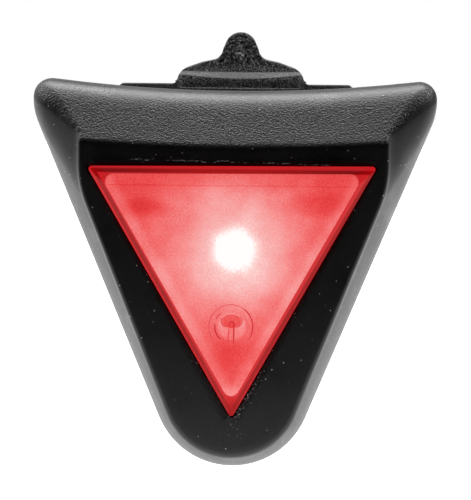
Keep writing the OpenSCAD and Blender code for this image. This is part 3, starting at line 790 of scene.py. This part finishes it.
# The thread lies above the lens's top edge and sinks a little to the right
thread_z_mm = lens_z_mm + lens_r_mm + lens_gap_mm
thread_mm = 0.085
thread_points = 44
threads = ((-11.4, -8.6), (-7.6, -2.6), (-2.2, 1.5), (1.6, 6.4), (6.7, 10.6))
for i, (start, stop) in enumerate(threads):
    path = []
    for k in range(thread_points):
        x = mix(start, stop, k / (thread_points - 1))
        slow_wave = noise.noise(Vector((x * 0.55, 4.0, i)))
        fast_wave = noise.noise(Vector((x * 2.6, 8.0, i)))
        wave = slow_wave + 0.35 * fast_wave
        path.append((x, thread_z_mm + 0.34 + 0.3 * wave - 0.02 * x))
    thread = ribbon("moulding_thread_" + str(i + 1), path, thread_mm, 0.05, 0.03, face_mm)
    dress(thread, flash_rubber, "housing", "soft_rubber")

# Touch mark ---------------------------------------------------------------------------------
# A power sign, upside down, pressed finely into the lens over the switch: a broken double ring,
# an oval pip and a stem of two lines. Each stroke is a ribbon laid on the lens's flat front.


def pip_arc(start, stop):
    """Points on the oval pip's outline. Angles are in degrees."""
    return [(pip_half_mm * cos(radians(a)), mark_mm + pip_lift_mm + pip_tall_mm * sin(radians(a)))
            for a in range(start, stop, 6)]


# Each stroke's path, its width in millimetres and its colour
stem_x_mm = 0.02
stem_r_mm = 0.23
stroke_depth_mm = 0.05
stroke_lift_mm = 0.006
strokes = {
    "ring_right": (arc((-0.08, mark_mm), 2.38, -38, 62, 40), 0.14, (196, 40, 48)),
    "ring_top": (arc((-0.08, mark_mm), 2.40, 60, 134, 28), 0.11, (216, 84, 90)),
    "ring_left": (arc((-0.08, mark_mm), 2.38, 134, 222, 36), 0.11, (212, 66, 72)),
    "inner_left": (arc((-0.02, mark_mm), 1.80, 168, 232, 30), 0.13, (180, 30, 38)),
    "inner_high": (arc((-0.02, mark_mm), 1.86, 126, 158, 10), 0.12, (202, 62, 70)),
    "inner_right": (arc((-0.1, mark_mm), 1.86, -42, 44, 24), 0.09, (222, 84, 86)),
    "stem": ([(stem_x_mm - stem_r_mm, mark_mm + 0.1)]
             + arc((stem_x_mm, mark_mm + 0.3), stem_r_mm, 180, 0, 14)
             + line((stem_x_mm + stem_r_mm, mark_mm + 0.3), (stem_x_mm + 0.2, mark_mm - 2.2), 14),
             0.15, (190, 34, 40)),
    "stem_edge": (line((stem_x_mm - 0.32, mark_mm), (stem_x_mm - 0.38, mark_mm - 2.1), 14),
                  0.12, (212, 62, 66)),
    "pip_left": (pip_arc(150, 241), 0.11, (206, 44, 48)),
    "pip_right": (pip_arc(-62, 41), 0.10, (208, 56, 62)),
}
for stroke, (path, width, colour) in strokes.items():
    inked, tree, shader = new_material("mark_" + stroke, roughness=0.4, Specular_IOR_Level=0.3)
    where = put(tree, "ShaderNodeTexCoord").outputs["Object"]
    speckle = put(tree, "ShaderNodeTexNoise",
                  {"Scale": 3000.0, "Detail": 2.0, "Vector": where}).outputs[0]
    paler = tuple(min(255, c + 26) for c in colour)
    shade = mixed(tree, speckle, paint(*colour), paint(*paler))
    tree.links.new(shade, shader["Emission Color"])
    shader["Emission Strength"].default_value = 0.95
    tree.links.new(mixed(tree, speckle, paint(90, 6, 8), paint(110, 9, 10)), shader["Base Color"])
    mark = ribbon("mark_" + stroke, path, width, stroke_depth_mm, stroke_lift_mm, front_mm)
    dress(mark, inked, "lens", "red_lens")

# Hook plate ---------------------------------------------------------------------------------
# A stiff rubber plate laid across the top of the back, with a bell-shaped tongue that bends
# behind a strap. A rounded bead stiffens the tongue's foot, and its nub is rough for the thumb.


def remoulded(name, node, voxel, rounds):
    """A fine soft-edged skin over a CAD node's shape."""
    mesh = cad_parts[node].data.copy()
    piece = bpy.data.objects.new(name, mesh)
    bpy.context.scene.collection.objects.link(piece)
    skin = piece.modifiers.new("skin", "REMESH")
    skin.mode = "VOXEL"
    skin.voxel_size = voxel
    soften = piece.modifiers.new("soften", "SMOOTH")
    soften.iterations = rounds
    soften.factor = 0.5
    applied(piece)
    piece.data.shade_smooth()
    return piece


def smooth(value):
    """Eases a value between 0 and 1, and holds it at the ends."""
    t = min(max(value, 0), 1)
    return t * t * (3 - 2 * t)


plate_top_mm = top_mid_mm + 1.0
tongue_x_mm = 0.5
strip_drop_mm = 0.26
bead_back_mm = 1.8
bead_mm = 0.58
hook = remoulded("hook_plate_moulding", "hook_plate", 0.13 * MM, 4)
# Each point is moved by where it lies: x from the tongue's middle and z from the plate's top
for vertex in hook.data.vertices:
    x = vertex.co.x / MM - tongue_x_mm
    y = vertex.co.y / MM
    z = (vertex.co.z - bottom) / MM - plate_top_mm
    if z < -0.9:
        continue
    # The neck flares into the shoulder, and the shoulder's ends lean out to the plate
    flare = 0.07 * smooth(1 - abs(z - 3.6) / 0.7) - 0.09 * smooth(1 - abs(z - 2.35) / 0.6)
    flare *= smooth((4.6 - abs(x)) / 1.2)
    if 3.4 < abs(x) < 8 and z > 0.05:
        flare += 0.05 * (0.9 - z) * smooth((abs(x) - 3.4) / 2)
    vertex.co.x = (tongue_x_mm + x * (1 + flare)) * MM
    # The plate's strip stands a little lower on both sides of the tongue
    if z < 0.6:
        vertex.co.z -= strip_drop_mm * MM * smooth((abs(x) - 6.7) / 0.8) * smooth((z + 0.9) / 0.8)
    # The bead's top slopes and its ends run out
    if y < -1.85 and z < 1.7:
        foot = 0.3 + 0.5 * min(1, (x / 6.3) ** 2)
        swell = min(max((1.1 - z) / (1.1 - foot), 0), 1) * smooth((7.0 - abs(x)) / 0.9)
        vertex.co.y = max(y, -bead_back_mm - bead_mm * swell) * MM
    if z < 0.15 or y > -0.9:
        continue
    # The nub has coarse bumps, a wavy ridge, a dimple and a swelling near its top
    push = 0.0
    if z > 1.35:
        bumpy = min(1, (z - 1.35) / 0.8) * max(0, 1 - abs(x) / 2.6)
        coarse_bumps = noise.noise(Vector((x * 2.1, z * 2.9, 3.0)))
        fine_bumps = noise.noise(Vector((x * 5, z * 6, 9.0)))
        push += 0.2 * bumpy * (coarse_bumps + 0.5 * fine_bumps)
        ridge = max(0, 1 - abs(z - 2.1) / 0.9) * max(0, 1 - abs(x - 0.5) / 1.7)
        push += 0.06 * ridge * sin(z * 15 + 1.5 * x)
        push -= 0.22 * max(0, 1 - hypot(x / 0.75, (z - 3.45) / 0.5)) ** 0.7 * (z > 2.6)
        push += 0.10 * max(0, 1 - hypot(x / 1.2, (z - 4.1) / 0.7))
    vertex.co.y -= push * MM
hook.data.update()
hook_rubber, tree, shader = new_material("hook_rubber", Specular_IOR_Level=0.5)
grain = lay_on(tree, mould_grain, Size=0.2 * MM).outputs
dust = lay_on(tree, dust_specks, Spacing=0.7 * MM, Amount=0.4).outputs[0]
black = mixed(tree, grain[1], paint(38, 38, 39), paint(66, 66, 67))
# A grey glow is painted on the tongue's front as light falling on it, palest on the bead's slope as a
# painted reflection of the room above
where = put(tree, "ShaderNodeTexCoord").outputs
facing = put(tree, "ShaderNodeSeparateXYZ", {0: where["Normal"]}).outputs
place = put(tree, "ShaderNodeSeparateXYZ", {0: where["Object"]}).outputs
plate_top = bottom + plate_top_mm * MM
tongue = between(tree, place[2], plate_top - 0.2 * MM, plate_top + 0.6 * MM, 0.4, 1.0)
front = calc(tree, "MULTIPLY", between(tree, facing[1], -0.25, -0.75), tongue)
pores = lay_on(tree, mould_grain, Size=0.13 * MM).outputs
mottle = between(tree, pores[0], 0.62, 0.98, 0.0, 1.0)
painted_glow = mixed(tree, mottle, paint(28, 28, 28), paint(118, 118, 118))
# On the nub the painted glow darkens in pits as painted shade and brightens on flecks as painted
# highlights
nub = between(tree, place[2], plate_top + 1.3 * MM, plate_top + 2.2 * MM)
rough = lay_on(tree, mould_grain, Size=0.36 * MM).outputs[0]
pit_shade = calc(tree, "MULTIPLY", nub, between(tree, rough, 0.78, 0.62))
painted_glow = mixed(tree, pit_shade, painted_glow, paint(12, 12, 12))
fleck_glints = calc(tree, "MULTIPLY", nub, between(tree, rough, 0.96, 1.04))
painted_glow = mixed(tree, fleck_glints, painted_glow, paint(150, 150, 150))
# The bead's upward slope gets a paler painted reflection
slope_reflection = between(tree, facing[2], 0.3, 0.55, 0.0, 0.8)
painted_glow = mixed(tree, slope_reflection, painted_glow, paint(126, 126, 126))
tree.links.new(mixed(tree, front, grey(0.0), painted_glow), shader["Emission Color"])
shader["Emission Strength"].default_value = 0.8
tree.links.new(mixed(tree, scaled(tree, dust, 0.6), black, paint(200, 200, 198)), shader["Base Color"])
tree.links.new(between(tree, grain[0], 0.3, 0.9, 0.55, 0.4), shader["Roughness"])
tree.links.new(relief(tree, grain[0], 0.15 * MM), shader["Normal"])
dress(hook, hook_rubber, "housing", "hook_rubber", "hook_plate")
# The real tongue leans back, out of the way of what the roof's lip mirrors
hook.visible_glossy = False

# Back of the housing ------------------------------------------------------------------------
# The rear cover, its screw cap and the snap stud are hard black nylon, and three steel screws
# hold cover and hook plate to the frame. Their edges are broken as a mould and a lathe leave them.


def rounded_copy(name, node, edge, segments=3):
    """A copy of a CAD node with its hard edges rounded."""
    piece = bpy.data.objects.new(name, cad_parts[node].data.copy())
    bpy.context.scene.collection.objects.link(piece)
    shape = bmesh.new()
    shape.from_mesh(piece.data)
    bmesh.ops.remove_doubles(shape, verts=shape.verts, dist=1e-7)
    bmesh.ops.dissolve_limit(shape, angle_limit=radians(1), verts=shape.verts, edges=shape.edges)
    shape.to_mesh(piece.data)
    shape.free()
    bevel = piece.modifiers.new("edges", "BEVEL")
    bevel.width = edge
    bevel.segments = segments
    bevel.limit_method = "ANGLE"
    bevel.angle_limit = radians(35)
    bevel.use_clamp_overlap = True
    applied(piece)
    piece.data.shade_smooth()
    piece.data.set_sharp_from_angle(angle=radians(30))
    return piece


def moulded(name, dark, pale, roughness=0.5, size=0.25, height=0.03, specks=0.15, **settings):
    """Moulded plastic or rubber: slow changes of tone, a fine mould grain, rubbed spots and dust."""
    material, tree, shader = new_material(name, **settings)
    grain = lay_on(tree, mould_grain, Size=size * MM).outputs
    rubbed = lay_on(tree, rub_marks, Size=size * 16 * MM, Amount=0.8).outputs[0]
    dust = lay_on(tree, dust_specks, Spacing=1.1 * MM, Amount=specks).outputs[0]
    base = mixed(tree, grain[1], paint(*dark), paint(*pale))
    dusty = mixed(tree, scaled(tree, dust, 0.5), base, paint(200, 198, 194))
    tree.links.new(dusty, shader["Base Color"])
    tree.links.new(between(tree, rubbed, 0.0, 1.0, roughness, roughness * 0.75), shader["Roughness"])
    tree.links.new(relief(tree, grain[0], height * MM), shader["Normal"])
    return material


def metal(name, dark, pale, roughness):
    """Bare or plated metal with fine drawn lines, tarnish and rubbed spots."""
    material, tree, shader = new_material(name, Metallic=1.0)
    where = put(tree, "ShaderNodeTexCoord").outputs["Object"]
    drawn = put(tree, "ShaderNodeMapping", {"Vector": where, "Scale": (1.0, 1.0, 14.0)}).outputs[0]
    lines = put(tree, "ShaderNodeTexNoise",
                {"Vector": drawn, "Scale": 700.0, "Detail": 3.0}).outputs[0]
    rubbed = lay_on(tree, rub_marks, Size=2.5 * MM, Amount=1.0).outputs[0]
    tree.links.new(mixed(tree, rubbed, paint(*dark), paint(*pale)), shader["Base Color"])
    dull = between(tree, lines, 0.3, 0.7, roughness * 0.8, roughness * 1.25)
    tree.links.new(dull, shader["Roughness"])
    tree.links.new(relief(tree, lines, 0.006 * MM), shader["Normal"])
    return material


black_nylon = moulded("black_plastic", (22, 22, 23), (38, 38, 40), roughness=0.46, height=0.05)
screw_steel = metal("screw_steel", (120, 122, 126), (176, 178, 182), roughness=0.34)
dress(rounded_copy("rear_cover_moulding", "rear_cover", 0.14 * MM), black_nylon, "housing",
      "black_plastic", "rear_cover")
dress(rounded_copy("battery_cap_moulding", "battery_cap", 0.13 * MM), black_nylon, "cap",
      "black_plastic", "battery_cap")
dress(rounded_copy("snap_stud_moulding", "snap_stud", 0.16 * MM), black_nylon, "housing",
      "black_plastic", "snap_stud")
dress(rounded_copy("housing_screw_set", "housing_screws", 0.07 * MM, 2), screw_steel, "housing",
      "screw_steel", "housing_screws")

# Inner pieces -------------------------------------------------------------------------------
# What the housing hides: the frame and battery tray, the board with its parts and switch, the
# white reflector, the coin cell with its contacts, and the seals. Their CAD shapes are kept.

inner_finishes = {
    "front_frame": black_nylon, "battery_tray": black_nylon,
    "lens_gasket": moulded("foam", (40, 40, 42), (74, 74, 76), 0.9, 0.35, 0.15),
    "reflector": moulded("white_plastic", (222, 222, 218), (244, 244, 240), 0.35, 0.4, 0.01),
    "circuit_board": moulded("board_green", (16, 70, 36), (28, 108, 60), 0.38, 0.5, 0.02),
    "led_base": moulded("led_white", (226, 222, 208), (246, 243, 232), 0.4, 0.2, 0.01),
    "led_dome": moulded("led_clear", (244, 214, 120), (255, 240, 190), 0.12, 0.3, 0.004),
    "controller_chip": moulded("chip_black", (24, 24, 26), (44, 44, 46), 0.55, 0.12, 0.02),
    "chip_resistors": moulded("resistor_black", (30, 30, 34), (52, 52, 56), 0.4, 0.1, 0.01),
    "capacitor": moulded("capacitor_tan", (160, 122, 76), (190, 150, 98), 0.45, 0.15, 0.02),
    "switch_body": moulded("switch_grey", (66, 66, 70), (92, 92, 96), 0.5, 0.2, 0.02),
    "switch_dome": metal("spring_steel", (176, 178, 182), (214, 216, 220), 0.2),
    "switch_plunger": moulded("ivory_plastic", (214, 206, 188), (236, 230, 214), 0.4, 0.2, 0.01),
    "coin_cell_can": metal("cell_steel", (168, 170, 174), (206, 208, 212), 0.24),
    "coin_cell_seal": moulded("seal_black", (26, 26, 26), (44, 44, 44), 0.6, 0.2, 0.02),
    "coin_cell_cap": metal("cell_cap_steel", (160, 162, 166), (196, 198, 202), 0.3),
    "negative_contact": metal("contact_gold", (178, 140, 66), (218, 184, 104), 0.28),
    "cap_seal_ring": moulded("seal_red", (104, 18, 22), (140, 34, 36), 0.5, 0.25, 0.02),
}
inner_finishes["positive_contact"] = inner_finishes["negative_contact"]
for node, finish in inner_finishes.items():
    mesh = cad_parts[node].data
    mesh.materials.clear()
    mesh.materials.append(finish)

size = {"cad": [list(corner) for corner in cad_box],
        "visual": [list(corner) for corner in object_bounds()]}
